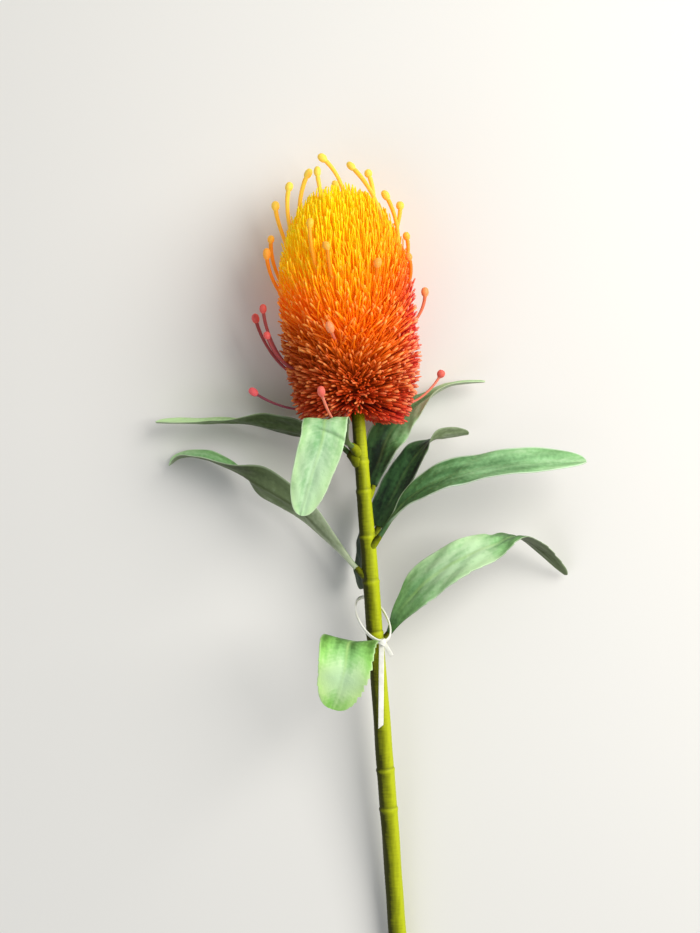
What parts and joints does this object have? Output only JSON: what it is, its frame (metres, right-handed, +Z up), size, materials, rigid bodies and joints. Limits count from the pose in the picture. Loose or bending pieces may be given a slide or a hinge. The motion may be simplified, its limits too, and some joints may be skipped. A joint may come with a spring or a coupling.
{
  "type": "artificial pincushion protea stem",
  "caption": "Artificial pincushion protea stem: a barrel head of fine needles from red to yellow with long knobbed styles, curved leaves on a green stem, and a loose white tie.",
  "frame": {"origin": "on the surface that the stem lies on, under the centre of its bounding box", "axes": "+Y along the stem towards the top of the flower head, +X to the right as seen from above with the head away from the viewer, +Z up from the surface"},
  "size_m": [0.1812, 0.4095, 0.0658],
  "materials": {
    "stem_plastic": "semi-gloss moulded plastic, olive to lime green",
    "needle_red": "fine glossy bristles, dark red with paler tips",
    "needle_orange": "fine glossy bristles, orange",
    "needle_yellow": "fine glossy bristles, yellow",
    "leaf_fabric": "coated fabric, mid green with a paler rim and midrib, grey-green below",
    "tie_plastic": "matt white"
  },
  "bodies": {
    "root": {"stem": "stem_plastic", "flower_head_red": "needle_red", "flower_head_orange": "needle_orange", "flower_head_yellow": "needle_yellow", "leaf_1": "leaf_fabric", "leaf_2": "leaf_fabric", "leaf_3": "leaf_fabric", "leaf_4": "leaf_fabric", "leaf_5": "leaf_fabric", "leaf_6": "leaf_fabric", "leaf_7": "leaf_fabric", "leaf_8": "leaf_fabric", "leaf_9": "leaf_fabric", "tie": "tie_plastic"}
  },
  "joints": []
}
